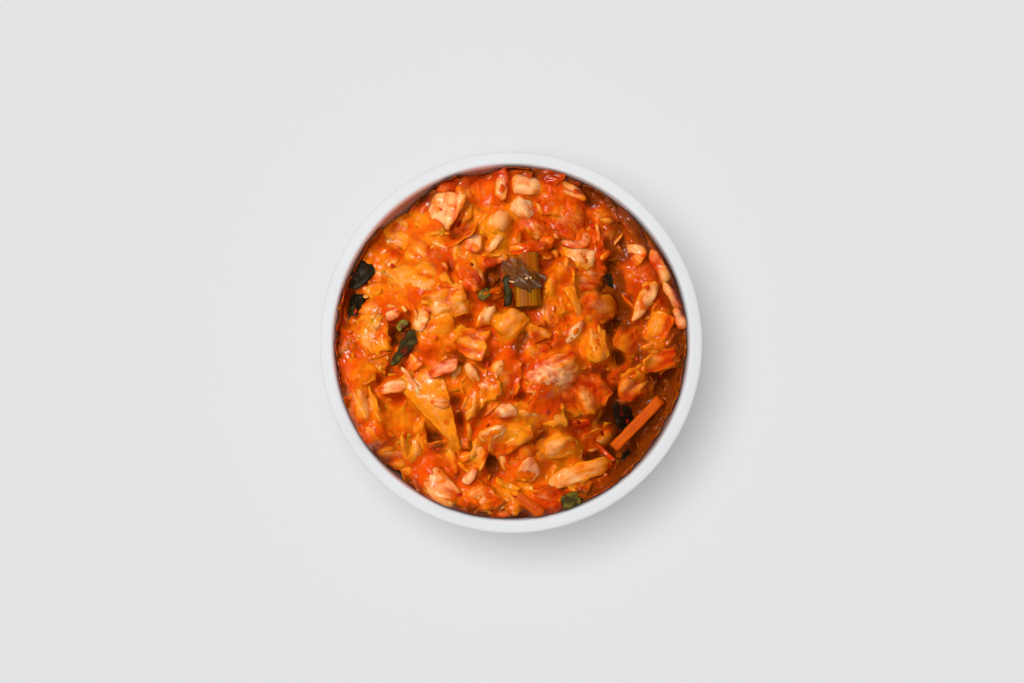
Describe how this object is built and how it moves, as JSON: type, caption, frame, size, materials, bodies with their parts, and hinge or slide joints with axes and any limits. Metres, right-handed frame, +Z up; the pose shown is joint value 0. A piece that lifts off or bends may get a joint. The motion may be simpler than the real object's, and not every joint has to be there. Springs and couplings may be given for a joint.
{
  "type": "bowl of kimchi",
  "caption": "Small round white bowl with a foot ring, heaped with chopped kimchi in chilli sauce, as a side dish to eat from.",
  "frame": {"origin": "middle of the bowl's footprint, on the plane that its foot ring stands on", "axes": "+Z up, along the bowl's axis; +Y away from the eater; +X to the right"},
  "size_m": [0.1102, 0.1102, 0.0597],
  "materials": {
    "white_glaze": "gloss",
    "kimchi": null,
    "spring_onion": "wet olive green stalk; gloss_plastic stands for a wet surface",
    "carrot": "wet orange carrot; gloss_plastic stands for a wet surface"
  },
  "bodies": {
    "root": {"bowl": "white_glaze", "kimchi": "kimchi", "spring_onion": "spring_onion", "carrot_stick": "carrot"}
  },
  "joints": []
}
